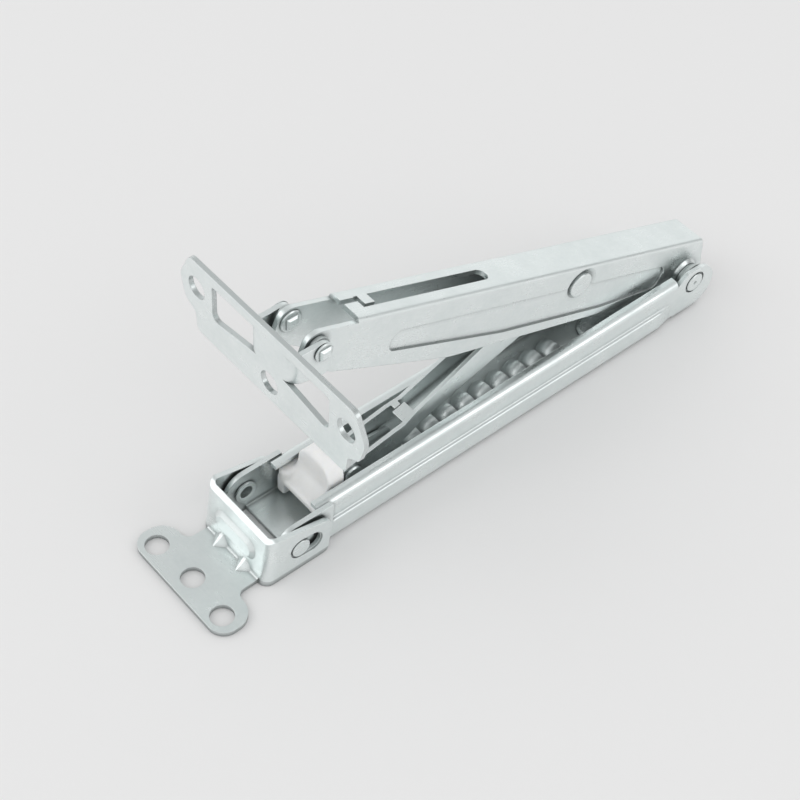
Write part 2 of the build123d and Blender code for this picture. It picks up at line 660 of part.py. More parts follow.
def hinge_rivet():
    """Through rivet whose spread and dimpled ends sit in the counterbored ears."""
    seat = RAIL_TOP_HALF - HINGE_MOUTH_DEPTH + FIXED_GAP
    end = RAIL_TOP_HALF + HINGE_END_PROUD
    half = disc(0, 0, 0, seat + NUDGE, HINGE_PIN_RADIUS)
    cap = disc(0, 0, seat, end, HINGE_END_RADIUS)
    half += chamfer(cap.edges().group_by(Axis.Y)[-1], HINGE_END_CHAMFER)
    half -= cone_along_y(end - HINGE_DIMPLE_RADIUS, end + NUDGE, FIXED_GAP, HINGE_DIMPLE_RADIUS)
    return Pos(HINGE_X, 0, HINGE_HEIGHT) * both_sides(half)


def ring_on_side(side, y_low, y_high, outer_radius, bore_radius):
    """Flat ring across the bracket, on one side of its middle plane."""
    ring = disc(0, 0, y_low, y_high, outer_radius) - disc(0, 0, y_low, y_high, bore_radius)
    if side < 0:
        ring = mirror(ring, about=Plane.XZ)
    return ring


def hinge_spacer(side):
    """Ring between the arm's boss and the washer."""
    y_low = ARM_HALF + ARM_BOSS_RISE + FIXED_GAP
    y_high = EAR_INNER - SIDE_GAP - HINGE_WASHER_THICKNESS - FIXED_GAP
    return at_hinge(ring_on_side(side, y_low, y_high, HINGE_SPACER_RADIUS, HINGE_PIN_RADIUS + PIN_GAP))


def hinge_washer(side):
    """Thin washer that runs against the rail's ear."""
    y_high = EAR_INNER - SIDE_GAP
    y_low = y_high - HINGE_WASHER_THICKNESS
    return at_hinge(ring_on_side(side, y_low, y_high, HINGE_WASHER_RADIUS, HINGE_PIN_RADIUS + PIN_GAP))


def arm_section():
    """Half section of the arm: roof and one wall."""
    return outline(
        (0, ARM_TOP, 0),
        (ARM_HALF, ARM_TOP, ARM_BEND_RADIUS),
        (ARM_HALF, -BIG, 0),
        (ARM_INNER, -BIG, 0),
        (ARM_INNER, ARM_TOP - ARM_SHEET, ARM_INNER_RADIUS),
        (0, ARM_TOP - ARM_SHEET, 0),
    )


def arm_side_outline():
    """Side view of the arm with the hinge at the origin and the lug to the left."""
    lug_low = ARM_LUG_RISE - ARM_LUG_DEPTH
    lug_end = ARM_LUG_AT + ARM_LUG_RADIUS
    return outline(
        (ARM_HEEL, ARM_TOP, ARM_HEEL_TOP_RADIUS),
        (ARM_HEEL_LOW, ARM_HEEL_LOW_RISE, ARM_HEEL_RADIUS),
        (ARM_HEEL_LOW / 2, -ARM_HEEL_BELLY, ARM_HEEL_RADIUS),
        (-ARM_HEEL_LOW, -ARM_HEEL_BELLY, ARM_HEEL_BACK_RADIUS),
        (-ARM_BELLY_AT, -ARM_BELLY, ARM_BELLY_RADIUS),
        (-ARM_TAIL_RISE_AT, -ARM_TAIL_DEPTH, ARM_TAIL_RADIUS),
        (-ARM_THROAT_AT, -ARM_THROAT_DEPTH, ARM_THROAT_RADIUS),
        (-lug_end, lug_low, ARM_LUG_RADIUS),
        (-lug_end, ARM_LUG_RISE + ARM_LUG_RADIUS, ARM_LUG_RADIUS - CORNER_EASE),
        (-ARM_ROOF_END, ARM_LUG_RISE + ARM_LUG_RADIUS, 0),
        (-ARM_ROOF_END, ARM_TOP, 0),
    )


def arm_panel():
    """Long shallow field pressed into the outer face of one wall of the arm."""
    field = outline(
        (-ARM_PANEL_START, -ARM_PANEL_START_LOW, ARM_PANEL_RADIUS),
        (-ARM_PANEL_START, ARM_PANEL_TOP, ARM_PANEL_RADIUS),
        (-ARM_PANEL_END, ARM_PANEL_TOP, ARM_PANEL_RADIUS),
        (-ARM_PANEL_END, -ARM_PANEL_END_LOW, ARM_PANEL_RADIUS),
        (-ARM_PANEL_LOW_END, -ARM_PANEL_BOTTOM, ARM_PANEL_BEND_RADIUS),
        (-ARM_PANEL_LOW_START, -ARM_PANEL_BOTTOM, ARM_PANEL_BEND_RADIUS),
    )
    return slab_xz(field, ARM_HALF - ARM_PANEL_DEPTH, ARM_HALF + NUDGE)


def strut_rivet_dish():
    """Shallow dish in one wall of the arm that the strut rivet's head sits in."""
    floor = ARM_HALF - STRUT_DISH_DEPTH
    dish = cone_along_y(floor, ARM_HALF, STRUT_RIVET_HEAD_RADIUS + RUN_GAP, STRUT_DISH_RADIUS)
    dish += disc(0, 0, ARM_HALF, ARM_HALF + NUDGE, STRUT_DISH_RADIUS)
    return Pos(-STRUT_PIVOT_ALONG, 0, STRUT_PIVOT_RISE) * dish


def arm_slot():
    """Long opening in the roof: a tongue crosses it and a seam runs on to the roof's end."""
    round_end = (ARM_SLOT_FAR - ARM_SLOT_NEAR) / 2 - CORNER_EASE
    slot = outline(
        (-ARM_SLOT_START, ARM_SLOT_NEAR, round_end),
        (-ARM_SLOT_START, ARM_SLOT_FAR, round_end),
        (-ARM_SLOT_END, ARM_SLOT_FAR, 0),
        (-ARM_SLOT_END, ARM_SLOT_NEAR, 0),
    )
    opening = slab_xy(slot, 0, BIG)
    opening -= block(-ARM_TONGUE_END, -ARM_TONGUE_START, ARM_TONGUE_TIP, BIG, -NUDGE, BIG + NUDGE)
    opening += block(-BIG, NUDGE - ARM_SLOT_END, ARM_SEAM_NEAR, ARM_SEAM_FAR, 0, BIG)
    return opening


def arm_hinge_boss():
    """Cone pressed outwards round the hinge hole, hollow inside."""
    base = ARM_BOSS_BASE_RADIUS
    top = ARM_BOSS_TOP_RADIUS
    wall = ARM_SHEET / 2
    outer = cone_along_y(ARM_HALF - NUDGE / 2, ARM_HALF + ARM_BOSS_RISE, base, top)
    hollow = cone_along_y(ARM_INNER - NUDGE, ARM_INNER + ARM_BOSS_RISE, base - wall, top - wall)
    return outer, hollow


def upper_arm():
    half = slab_yz(arm_section(), -BIG, BIG)
    half = half & slab_xz(arm_side_outline(), 0, ARM_HALF)
    half -= block(-BIG, -ARM_ROOF_END, 0, ARM_INNER, 0, BIG)
    half -= arm_panel()
    half -= strut_rivet_dish()
    boss, hollow = arm_hinge_boss()
    half = half + boss - hollow
    half -= disc(0, 0, 0, BIG, HINGE_PIN_RADIUS + PIN_GAP)
    half -= disc(-STRUT_PIVOT_ALONG, STRUT_PIVOT_RISE, 0, BIG, STRUT_RIVET_RADIUS + FIXED_GAP)
    half -= disc(-ARM_LUG_AT, ARM_LUG_RISE, 0, BIG, PLATE_PIN_RADIUS + FIXED_GAP)
    return at_hinge(both_sides(half) - arm_slot())


def strut_rivet():
    """Through rivet at the strut's upper end, held in the arm's walls."""
    head_start = ARM_HALF - STRUT_DISH_DEPTH + FIXED_GAP
    head_end = head_start + STRUT_RIVET_HEAD_HEIGHT
    half = disc(0, 0, 0, head_start + STRUT_RIVET_HEAD_HEIGHT / 2, STRUT_RIVET_RADIUS)
    head = disc(0, 0, head_start, head_end, STRUT_RIVET_HEAD_RADIUS)
    half += fillet(head.edges().group_by(Axis.Y)[-1], STRUT_RIVET_HEAD_HEIGHT / 2)
    return Pos(STRUT_TOP_X, 0, STRUT_TOP_Z) * both_sides(half)


def strut_side_outline():
    """Side view of the strut with its foot at the origin and its top pivot along X."""
    end = STRUT_LENGTH + STRUT_TOP_RADIUS
    return outline(
        (-STRUT_FORK_RADIUS, -STRUT_FORK_RADIUS, STRUT_FORK_RADIUS * END_ROUNDING),
        (STRUT_NECK_AT, -STRUT_UNDERSIDE, 0),
        (end, -STRUT_TOP_RADIUS, STRUT_TOP_RADIUS * END_ROUNDING),
        (end, STRUT_TOP_RADIUS, STRUT_TOP_RADIUS * END_ROUNDING),
        (STRUT_SHOULDER_AT, STRUT_SHOULDER_TOP, STRUT_SHOULDER_RADIUS),
        (STRUT_NECK_AT, STRUT_KINK_TOP, STRUT_KINK_RADIUS),
        (STRUT_FORK_END, STRUT_KINK_TOP, STRUT_KINK_RADIUS),
        (-STRUT_FORK_RADIUS, STRUT_FORK_RADIUS, STRUT_FORK_RADIUS * END_ROUNDING),
    )


def strut_plan_wall():
    """Plan view of one wall: wide at the fork, then drawn in to the neck and the top."""
    neck_half = STRUT_NECK_WIDTH / 2
    top_half = STRUT_TOP_WIDTH / 2
    end = STRUT_LENGTH + STRUT_TOP_RADIUS
    return outline(
        (-STRUT_FORK_RADIUS, FORK_HALF, 0),
        (STRUT_FORK_END, FORK_HALF, STRUT_NECK_BEND_RADIUS),
        (STRUT_NECK_AT, neck_half, STRUT_NECK_BEND_RADIUS),
        (STRUT_SHOULDER_AT, top_half, STRUT_DRAW_RADIUS),
        (end, top_half, 0),
        (end, top_half - STRUT_SHEET, 0),
        (STRUT_SHOULDER_AT, top_half - STRUT_SHEET, STRUT_DRAW_RADIUS),
        (STRUT_NECK_AT, neck_half - STRUT_SHEET, STRUT_NECK_BEND_RADIUS),
        (STRUT_FORK_END, FORK_INNER, STRUT_NECK_BEND_RADIUS),
        (-STRUT_FORK_RADIUS, FORK_INNER, 0),
    )


def strut_web():
    """Bottom of the channel from the neck to near the top pivot."""
    web_end = STRUT_LENGTH - STRUT_TOP_RADIUS
    drop = STRUT_TOP_RADIUS
    profile = outline(
        (STRUT_NECK_AT, -STRUT_UNDERSIDE, 0),
        (web_end, -drop, 0),
        (web_end, -drop + STRUT_SHEET, 0),
        (STRUT_NECK_AT, -STRUT_UNDERSIDE + STRUT_SHEET, 0),
    )
    web = slab_xz(profile, -BIG, BIG)
    full_plan = make_face(Polyline(
        (STRUT_NECK_AT, -STRUT_NECK_WIDTH / 2 + STRUT_SHEET / 2),
        (STRUT_SHOULDER_AT, -STRUT_TOP_WIDTH / 2 + STRUT_SHEET / 2),
        (web_end, -STRUT_TOP_WIDTH / 2 + STRUT_SHEET / 2),
        (web_end, STRUT_TOP_WIDTH / 2 - STRUT_SHEET / 2),
        (STRUT_SHOULDER_AT, STRUT_TOP_WIDTH / 2 - STRUT_SHEET / 2),
        (STRUT_NECK_AT, STRUT_NECK_WIDTH / 2 - STRUT_SHEET / 2),
        close=True,
    ))
    web = web & slab_xy(full_plan, -BIG, BIG)
    return web & slab_xz(strut_side_outline(), -BIG, BIG)


def strut_channel():
    wall = slab_xy(strut_plan_wall(), -BIG, BIG)
    wall = wall & slab_xz(strut_side_outline(), 0, BIG)
    wall -= disc(0, 0, 0, BIG, STRUT_PIN_RADIUS + FIXED_GAP)
    wall -= disc(STRUT_LENGTH, 0, 0, BIG, STRUT_RIVET_RADIUS + PIN_GAP)
    strut = both_sides(wall) + strut_web()
    tab_left = STRUT_NECK_AT - STRUT_TAB_LENGTH
    tab_low = STRUT_KINK_TOP - STRUT_SHEET
    neck_inner = STRUT_NECK_WIDTH / 2 - STRUT_SHEET / 2
    strut += block(tab_left, STRUT_NECK_AT, -neck_inner, STRUT_TAB_OVERLAP, tab_low, STRUT_KINK_TOP)
    short_left = tab_left + STRUT_SHEET
    short_right = STRUT_NECK_AT - STRUT_SHEET
    seam = STRUT_TAB_OVERLAP + RUN_GAP
    strut += block(short_left, short_right, seam, neck_inner, tab_low, STRUT_KINK_TOP)
    return at_strut(strut)


def strut_spacer(side):
    """Ring that centres the strut's narrow top between the arm's walls."""
    y_low = STRUT_TOP_WIDTH / 2 + FIXED_GAP
    y_high = ARM_INNER - SIDE_GAP
    ring = ring_on_side(side, y_low, y_high, STRUT_SPACER_RADIUS, STRUT_RIVET_RADIUS + PIN_GAP)
    return Pos(STRUT_TOP_X, 0, STRUT_TOP_Z) * ring


def strut_pin():
    """Headed pin through the fork, the pawl and the block's lug."""
    head_start = FORK_HALF + FIXED_GAP
    head_end = head_start + STRUT_PIN_HEAD_HEIGHT
    half = disc(0, 0, 0, head_start + STRUT_PIN_HEAD_HEIGHT / 2, STRUT_PIN_RADIUS)
    head = disc(0, 0, head_start, head_end, STRUT_PIN_HEAD_RADIUS)
    half += chamfer(head.edges().group_by(Axis.Y)[-1], STRUT_PIN_HEAD_HEIGHT / 2)
    return at_strut_foot(both_sides(half))


def pawl_side_outline():
    """Side view of one pawl wall, level, with its pin at the origin."""
    hook_low = TOOTH_TOP + PAWL_HOOK_GAP - STRUT_FOOT_HEIGHT
    hook_start = PAWL_LENGTH - PAWL_HOOK_LENGTH
    return outline(
        (-PAWL_RADIUS, -PAWL_RADIUS, PAWL_END_RADIUS),
        (PAWL_WEB_START, -PAWL_UNDERSIDE, PAWL_WEB_RADIUS),
        (hook_start - PAWL_HOOK_LEAD, -PAWL_UNDERSIDE, PAWL_WEB_RADIUS),
        (hook_start, hook_low, PAWL_HOOK_RADIUS),
        (PAWL_LENGTH, hook_low, PAWL_HOOK_RADIUS),
        (PAWL_LENGTH, PAWL_TIP_TOP, PAWL_TIP_RADIUS),
        (PAWL_LENGTH / 2, PAWL_TOP, PAWL_BACK_RADIUS),
        (-PAWL_RADIUS, PAWL_RADIUS, PAWL_END_RADIUS),
    )


def ratchet_pawl():
    wall = slab_xz(pawl_side_outline(), PAWL_INNER, PAWL_HALF)
    wall -= disc(0, 0, 0, BIG, STRUT_PIN_RADIUS + PIN_GAP)
    web_top = -PAWL_UNDERSIDE + PAWL_SHEET
    pawl = both_sides(wall)
    middle = PAWL_INNER + PAWL_SHEET / 2
    web_left = PAWL_WEB_START + PAWL_WEB_RADIUS
    web_right = PAWL_LENGTH - PAWL_SHEET
    pawl += block(web_left, web_right, -middle, middle, -PAWL_UNDERSIDE, web_top)
    hook_low = TOOTH_TOP + PAWL_HOOK_GAP - STRUT_FOOT_HEIGHT
    pawl += block(PAWL_LENGTH - PAWL_SHEET, PAWL_LENGTH, -middle, middle, hook_low + NUDGE, web_top)
    return at_strut_foot(pawl)


def pawl_spring():
    """Torsion spring on the strut's pin: one leg on the pawl's web, one tail to the block."""
    web_top = -PAWL_UNDERSIDE + PAWL_SHEET
    radius = -web_top - SPRING_WIRE / 2 - PIN_GAP
    coil = Helix(SPRING_PITCH, SPRING_TURNS * SPRING_PITCH, radius)
    start = coil @ 0
    end = coil @ 1
    leg = Line(start - (coil % 0) * SPRING_LEG, start)
    tail = Line(end, end + (coil % 1) * SPRING_TAIL)
    path = Wire([leg.edge(), coil.edge(), tail.edge()])
    profile = Plane(origin=path @ 0, z_dir=path % 0) * Circle(SPRING_WIRE / 2)
    spring = Rot(-90, 0, 0) * Rot(0, 0, 90) * sweep(profile, path=path)
    box = spring.bounding_box()
    room_low = -PAWL_INNER + SIDE_GAP + GLIDE_LUG_THICKNESS
    room_middle = (room_low + PAWL_INNER) / 2
    return at_strut_foot(Pos(0, room_middle - (box.min.Y + box.max.Y) / 2, 0) * spring)


def glide_block():
    """Plastic block that slides in the rail and carries the strut's foot."""
    floor = RAIL_SHEET + GLIDE_FLOAT - STRUT_FOOT_HEIGHT
    runner_half = LUG_INNER - GLIDE_RUNNER_GAP
    body_half = EAR_INNER - RUN_GAP
    front = -GLIDE_FRONT
    back = -STRUT_FORK_RADIUS - GLIDE_BACK_GAP
    runner_top = GLIDE_RUNNER_TOP - STRUT_FOOT_HEIGHT
    body_top = GLIDE_BODY_TOP - STRUT_FOOT_HEIGHT
    runner_front = front + GLIDE_RUNNER_SETBACK
    runner_back = front + GLIDE_RUNNER_LENGTH
    runner = block(runner_front, runner_back, -runner_half, runner_half, floor, runner_top)
    runner = fillet(runner.edges().filter_by(Axis.Z), GLIDE_EDGE)
    body = block(front, -GLIDE_SIDE_REACH, -body_half, body_half, floor, body_top)
    body = fillet(body.edges().group_by(Axis.X)[0], GLIDE_EDGE)
    cheek_top = GLIDE_CHEEK_TOP - STRUT_FOOT_HEIGHT
    cheek_inner = body_half - GLIDE_CHEEK_WIDTH
    cheek_plan = outline(
        (front, cheek_inner, GLIDE_CHEEK_ROUND),
        (front + GLIDE_CHEEK_LENGTH, cheek_inner, GLIDE_CHEEK_ROUND),
        (front + GLIDE_CHEEK_LENGTH, body_half, GLIDE_CHEEK_ROUND),
        (front, body_half, GLIDE_CHEEK_ROUND),
    )
    cheek = slab_xy(cheek_plan, body_top - NUDGE, cheek_top)
    cheek = fillet(cheek.edges().group_by(Axis.Z)[-1], GLIDE_EDGE)
    fork_room = FORK_HALF + STRUT_PIN_HEAD_HEIGHT + RUN_GAP + GLIDE_SIDE_HOLLOW
    room = block(back, BIG, -fork_room, fork_room, -BIG, BIG)
    groove_half = TOOTH_HALF_WIDTH + RUN_GAP
    groove_top = TOOTH_TOP + GLIDE_FLOAT + RUN_GAP - STRUT_FOOT_HEIGHT
    groove = block(-BIG, BIG, -groove_half, groove_half, -BIG, groove_top)
    glide = (runner + body + cheek - room - groove) + glide_horn(front, back, body_top)
    return at_strut_foot(glide + glide_lug(back))


def glide_horn(front, back, body_top):
    """Upright tongue, rounded in front view and swept forward at its root."""
    top = GLIDE_HORN_TOP - STRUT_FOOT_HEIGHT
    half = GLIDE_HORN_WIDTH / 2
    face_front = back - GLIDE_HORN_THICKNESS
    side = outline(
        (back, body_top - NUDGE, 0),
        (back, top, GLIDE_HORN_TOP_RADIUS),
        (face_front, top, GLIDE_HORN_TOP_RADIUS),
        (face_front, body_top + GLIDE_HORN_SWEEP, GLIDE_HORN_ROOT_RADIUS),
        (face_front - GLIDE_HORN_SWEEP, body_top, 0),
        (face_front - GLIDE_HORN_SWEEP, body_top - NUDGE, 0),
    )
    face = outline(
        (-half, body_top - NUDGE, 0),
        (half, body_top - NUDGE, 0),
        (half, top, GLIDE_HORN_ROUND),
        (-half, top, GLIDE_HORN_ROUND),
    )
    return slab_xz(side, -half, half) & slab_yz(face, front, back)


def glide_lug(back):
    """Thin lug between the pawl's walls that the strut's pin passes through."""
    y_low = -PAWL_INNER + SIDE_GAP
    y_high = y_low + GLIDE_LUG_THICKNESS
    profile = outline(
        (back - NUDGE, -GLIDE_LUG_RADIUS, 0),
        (GLIDE_LUG_RADIUS, -GLIDE_LUG_RADIUS, GLIDE_LUG_RADIUS * END_ROUNDING),
        (GLIDE_LUG_RADIUS, GLIDE_LUG_RADIUS, GLIDE_LUG_RADIUS * END_ROUNDING),
        (back - NUDGE, GLIDE_LUG_RADIUS, 0),
    )
    lug = slab_xz(profile, y_low, y_high)
    return lug - disc(0, 0, -BIG, BIG, STRUT_PIN_RADIUS + PIN_GAP)


def plate_outline():
    """Front view of the head plate in Y and Z, its pivot at the origin."""
    top = PLATE_RISE
    right = [
        (PLATE_BOTTOM_HALF, top - PLATE_HEIGHT, PLATE_WAIST_RADIUS),
        (PLATE_WAIST_HALF, top - PLATE_WAIST_AT, PLATE_WAIST_RADIUS),
        (PLATE_LOBE_END_HALF, top - PLATE_LOBE_END_AT, PLATE_LOBE_RADIUS),
        (PLATE_WIDEST_HALF, top - PLATE_WIDEST_AT, PLATE_WIDEST_RADIUS),
        (PLATE_TOP_HALF, top, PLATE_TOP_RADIUS),
    ]
    left = [(-y, z, radius) for y, z, radius in reversed(right)]
    return outline(*right, *left)


def plate_window(inner):
    """Opening on the +Y side that an ear is lanced from."""
    top = PLATE_RISE
    return outline(
        (inner, top - PLATE_WINDOW_TOP, 0),
        (PLATE_WINDOW_OUTER, top - PLATE_WINDOW_TOP, PLATE_WINDOW_CORNER),
        (PLATE_WINDOW_OUTER, top - PLATE_WINDOW_LOW_OUTER, PLATE_WINDOW_LOW_CORNER),
        (inner, top - PLATE_WINDOW_LOW_INNER, 0),
    )


def plate_ear():
    """One ear bent back from the plate, with its root bend."""
    front = -PLATE_STANDOFF
    bend_start = PLATE_EAR_OUTER - PLATE_BEND_RADIUS
    reach = front + PLATE_EAR_REACH
    plan = outline(
        (front, bend_start - NUDGE, 0),
        (front, PLATE_EAR_OUTER, PLATE_BEND_RADIUS),
        (reach, PLATE_EAR_OUTER, 0),
        (reach, PLATE_EAR_INNER, 0),
        (front + PLATE_SHEET, PLATE_EAR_INNER, PLATE_BEND_RADIUS - PLATE_SHEET),
        (front + PLATE_SHEET, bend_start - NUDGE, 0),
    )
    ear_top = PLATE_RISE - PLATE_WINDOW_TOP
    side = outline(
        (front, ear_top, 0),
        (front, PLATE_RISE - PLATE_WINDOW_LOW_INNER, 0),
        (reach, PLATE_RISE - PLATE_WINDOW_LOW_OUTER, PLATE_EAR_CORNER),
        (reach, ear_top, PLATE_EAR_CORNER),
    )
    return slab_xy(plan, -BIG, BIG) & slab_xz(side, 0, BIG)


def top_plate():
    front = -PLATE_STANDOFF
    back = front + PLATE_SHEET
    plate = slab_yz(plate_outline(), front, back)
    window = slab_yz(plate_window(PLATE_EAR_OUTER - PLATE_BEND_RADIUS), front - NUDGE, back + NUDGE)
    plate -= both_sides(window)
    for side in (-1, 1):
        y = side * (PLATE_WIDEST_HALF - PLATE_HOLE_MARGIN)
        hole = Pos(y, PLATE_RISE - PLATE_HOLE_AT) * Circle(SCREW_HOLE_RADIUS)
        plate -= slab_yz(hole, front - NUDGE, back + NUDGE)
    centre = Pos(0, PLATE_RISE - PLATE_CENTRE_HOLE_AT) * Circle(SCREW_HOLE_RADIUS)
    plate -= slab_yz(centre, front - NUDGE, back + NUDGE)
    ear = plate_ear() - disc(0, 0, 0, BIG, PLATE_PIN_RADIUS + PIN_GAP)
    return at_plate(plate + both_sides(ear))


def plate_rivet(side):
    """Rivet fixed in one arm lug: thin round ends, each with a crushed square in its middle."""
    tail_end = ARM_INNER - FIXED_GAP
    tail_start = tail_end - PLATE_PIN_TAIL_HEIGHT
    boss_start = tail_start - PLATE_PIN_BOSS_HEIGHT
    head_start = PLATE_EAR_OUTER + SIDE_GAP
    head_end = head_start + PLATE_PIN_HEAD_HEIGHT
    rivet = disc(0, 0, tail_start, head_start + PLATE_PIN_HEAD_HEIGHT / 2, PLATE_PIN_RADIUS)
    tail = disc(0, 0, tail_start, tail_end, PLATE_PIN_TAIL_RADIUS)
    rivet += chamfer(tail.edges().group_by(Axis.Y)[0], PLATE_PIN_TAIL_HEIGHT / 2)
    square = Rectangle(PLATE_PIN_BOSS_SIDE, PLATE_PIN_BOSS_SIDE)
    boss = slab_xz(square, boss_start, tail_start + CORNER_EASE)
    rivet += chamfer(boss.edges().group_by(Axis.Y)[0], PLATE_PIN_BOSS_CHAMFER)
    head = disc(0, 0, head_start, head_end, PLATE_PIN_HEAD_RADIUS)
    rivet += chamfer(head.edges().group_by(Axis.Y)[-1], PLATE_PIN_HEAD_HEIGHT / 2)
    crown = slab_xz(square, head_end - CORNER_EASE, head_end + PLATE_PIN_BOSS_HEIGHT)
    rivet += chamfer(crown.edges().group_by(Axis.Y)[-1], PLATE_PIN_BOSS_CHAMFER)
    if side < 0:
        rivet = mirror(rivet, about=Plane.XZ)
    return at_plate(rivet)


def plate_spacer(side):
    """Ring between an arm lug and the plate's ear."""
    y_low = ARM_HALF + SIDE_GAP
    y_high = PLATE_EAR_INNER - FIXED_GAP
    return at_plate(ring_on_side(side, y_low, y_high, PLATE_SPACER_RADIUS, PLATE_PIN_RADIUS + PIN_GAP))


def build_parts():
    parts = {
        "base_rail": base_rail(),
        "stop_rivet": stop_rivet(),
        "hinge_rivet": hinge_rivet(),
        "foot_bracket": foot_bracket(),
        "upper_arm": upper_arm(),
        "strut_rivet": strut_rivet(),
        "strut_channel": strut_channel(),
        "strut_pin": strut_pin(),
        "ratchet_pawl": ratchet_pawl(),
        "pawl_spring": pawl_spring(),
        "glide_block": glide_block(),
        "top_plate": top_plate(),
    }
    for name, side in (("near", -1), ("far", 1)):
        parts["foot_pin_" + name] = foot_pin(side)
        parts["hinge_spacer_" + name] = hinge_spacer(side)
        parts["hinge_washer_" + name] = hinge_washer(side)
        parts["strut_spacer_" + name] = strut_spacer(side)
        parts["plate_rivet_" + name] = plate_rivet(side)
        parts["plate_spacer_" + name] = plate_spacer(side)
    return parts


os.makedirs("parts", exist_ok=True)
for part_name, part_shape in build_parts().items():
    export_step(part_shape, "parts/" + part_name + ".step")
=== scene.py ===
import math

import bpy
from mathutils import Matrix, Vector

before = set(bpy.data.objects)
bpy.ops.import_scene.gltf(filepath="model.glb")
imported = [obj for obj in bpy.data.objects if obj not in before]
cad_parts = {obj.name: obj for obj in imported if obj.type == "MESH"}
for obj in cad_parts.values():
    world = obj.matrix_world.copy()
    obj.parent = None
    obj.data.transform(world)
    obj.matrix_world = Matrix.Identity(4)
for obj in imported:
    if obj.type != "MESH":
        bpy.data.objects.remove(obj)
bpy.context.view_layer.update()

# Camera: place in metres, angles in degrees, lens and sensor in millimetres
CAMERA_PLACE = (-0.27010, -0.25246, 0.42280)
CAMERA_AZIMUTH = -43.44
CAMERA_ELEVATION = 48.91
CAMERA_ROLL = 4.24
CAMERA_LENS = 84.67
SENSOR_WIDTH = 36.0
NEAR_CLIP = 0.01
FAR_CLIP = 50.0

# Floor
FLOOR_DROP = 0.00005
FLOOR_SIZE = 24.0
FLOOR_COLOUR = (0.85, 0.85, 0.85, 1.0)
FLOOR_ROUGHNESS = 0.6
FLOOR_SPECULAR = 0.2

# World: the light, the backdrop, and the room that metal mirrors with its brightness by height
FILL = 0.86
WHITE = (1.0, 1.0, 1.0, 1.0)
SEEN_WORLD = (0.90, 0.90, 0.90, 1.0)
ROOM_TINT = (0.98, 1.0, 1.0, 1.0)
HORIZON = 0.88
UPPER_ROOM = 0.69
CEILING = 0.52
UPPER_ROOM_SPAN = (0.34, 0.62)
CEILING_SPAN = (0.78, 0.90)
DIM_CORNER = (0.82, -0.54, 0.19)
DIM_CORNER_SPAN = (0.88, 0.97)
DIM_CORNER_LEVEL = 0.45

# Soft boxes: places and sides in metres, power in watts
BOX_AIM = (0.0, 0.0, 0.03)
LEFT_BOX_PLACE = (-0.57, 0.43, 0.54)
LEFT_BOX_SIDE = 0.55
LEFT_BOX_POWER = 0.7
RIGHT_BOX_PLACE = (0.41, -0.68, 0.43)
RIGHT_BOX_SIDE = 0.50
RIGHT_BOX_POWER = 0.75

# Zinc plate: colours and roughness
ZINC_COLOUR = (0.89, 0.935, 0.93, 1.0)
ZINC_DULL = (0.74, 0.80, 0.795, 1.0)
# Light colour for the drawn streaks and for the painted edge highlight
ZINC_BRIGHT_STREAK_AND_HIGHLIGHT = (0.95, 0.98, 0.975, 1.0)
# Painted shade: the dark colour that hollows and creases are blended toward
ZINC_PAINTED_SHADE = (0.30, 0.32, 0.32, 1.0)
ZINC_CUT = (0.52, 0.55, 0.55, 1.0)
ZINC_RING = (0.70, 0.74, 0.73, 1.0)
SPRING_STEEL = (0.50, 0.51, 0.52, 1.0)
ZINC_ROUGHNESS = 0.30
RIVET_ROUGHNESS = 0.26
SMALL_PART_ROUGHNESS = 0.34

# Zinc plate: scales of its patterns per millimetre, and how strongly they show
CLOUD_SCALE = 0.09
MOTTLE_SCALE = 0.9
STREAK_SCALE = 2.6
STREAK_STRETCH = (0.05, 1.0, 1.0)
SPECK_SCALE = 7.0
PATCH_MOTTLE = 0.35
PATCH_SPAN = (0.50, 0.86)
PATCH_DULLING = 0.45
STREAK_SPAN = (0.52, 0.72)
STREAK_BRIGHTENING = 0.30
# Painted highlight: how much the edges are lightened
EDGE_PAINTED_HIGHLIGHT = 0.4
CUT_DULLING = 0.6
# Painted shade: how far creases, hollows and rivet hollows are darkened
CREASE_PAINTED_SHADE = 0.85
HOLLOW_PAINTED_SHADE = 0.15
RIVET_HOLLOW_PAINTED_SHADE = 0.1
RING_GRAIN = 0.5
RIVET_GRAIN = 0.3
PATCH_ROUGHNESS = (-0.04, 0.08)
STREAK_ROUGHNESS = (-0.03, 0.04)
STREAK_ROUGHNESS_SPAN = (0.35, 0.65)
HOLLOW_ROUGHNESS = 0.20
STREAK_HEIGHT = 0.5
SPECK_HEIGHT = 0.25
MOTTLE_HEIGHT = 0.6
ZINC_RELIEF = 0.00003
RELIEF_STRENGTH = 0.5

# Masks: distances in metres, and the values between which each one fades in
# The edge mask rounds the normal, places the painted highlight on zinc edges and tints the nylon's edges
EDGE_RADIUS = 0.0003
EDGE_SAMPLES = 6
EDGE_SPAN = (0.995, 0.80)
# The hollow and crease masks place the painted shade; the hollow one also roughens the surface
HOLLOW_DISTANCE = 0.025
HOLLOW_SPAN = (0.40, 0.08)
CREASE_DISTANCE = 0.0020
CREASE_SPAN = (0.97, 0.60)
HOLLOW_SAMPLES = 5
CUT_FACING_SPAN = (0.5, 0.3)

# The planes, in millimetres, that the two screw plates lie between
HEAD_PLATE_PLANES = ("X", -77.4, -75.4)
FOOT_PLATE_PLANES = ("Z", 0.0, 1.8)

# Turns, in degrees, that lay the drawn grain along the arm, the strut and across the plates
ARM_GRAIN_TURN = -21.2
STRUT_GRAIN_TURN = 16.3
PLATE_GRAIN_TURN = 90.0

